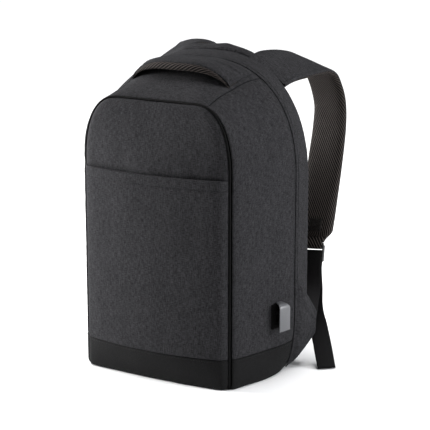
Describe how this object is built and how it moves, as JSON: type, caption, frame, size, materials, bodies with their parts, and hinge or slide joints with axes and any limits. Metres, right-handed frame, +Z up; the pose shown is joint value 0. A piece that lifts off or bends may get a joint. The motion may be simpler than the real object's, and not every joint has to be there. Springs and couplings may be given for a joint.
{
  "type": "laptop backpack",
  "caption": "Padded laptop backpack standing upright, with an arched grab handle, curved shoulder straps on ladder locks and a side charging port.",
  "frame": {"origin": "middle of the base panel's flat underside, on the floor", "axes": "+Z up, -Y out of the front, +X towards the side with the charging port"},
  "size_m": [0.3878, 0.3256, 0.43],
  "materials": {
    "fabric": "heather woven polyester, matte",
    "trim": "dense black cloth, matte",
    "air_mesh": "3-D spacer mesh",
    "webbing": "woven webbing",
    "plastic": "moulded, fine texture",
    "port_plastic": "moulded, satin"
  },
  "bodies": {
    "root": {"base_panel": "trim", "top_panel": "fabric", "rear_gusset": "fabric", "back_panel": "air_mesh", "front_piping": "trim", "strap_yoke": "fabric", "front_panel": "fabric", "front_pocket": "fabric", "front_trim": "trim", "grab_handle": "fabric", "handle_lining": "air_mesh", "port_hood": "port_plastic", "port_socket": "plastic", "side_panel_right": "fabric", "anchor_wing_right": "fabric", "strap_cover_right": "fabric", "strap_pad_right": "air_mesh", "strap_patch_right": "webbing", "lock_loop_right": "webbing", "ladder_lock_right": "plastic", "strap_webbing_right": "webbing", "side_panel_left": "fabric", "anchor_wing_left": "fabric", "strap_cover_left": "fabric", "strap_pad_left": "air_mesh", "strap_patch_left": "webbing", "lock_loop_left": "webbing", "ladder_lock_left": "plastic", "strap_webbing_left": "webbing"}
  },
  "joints": []
}
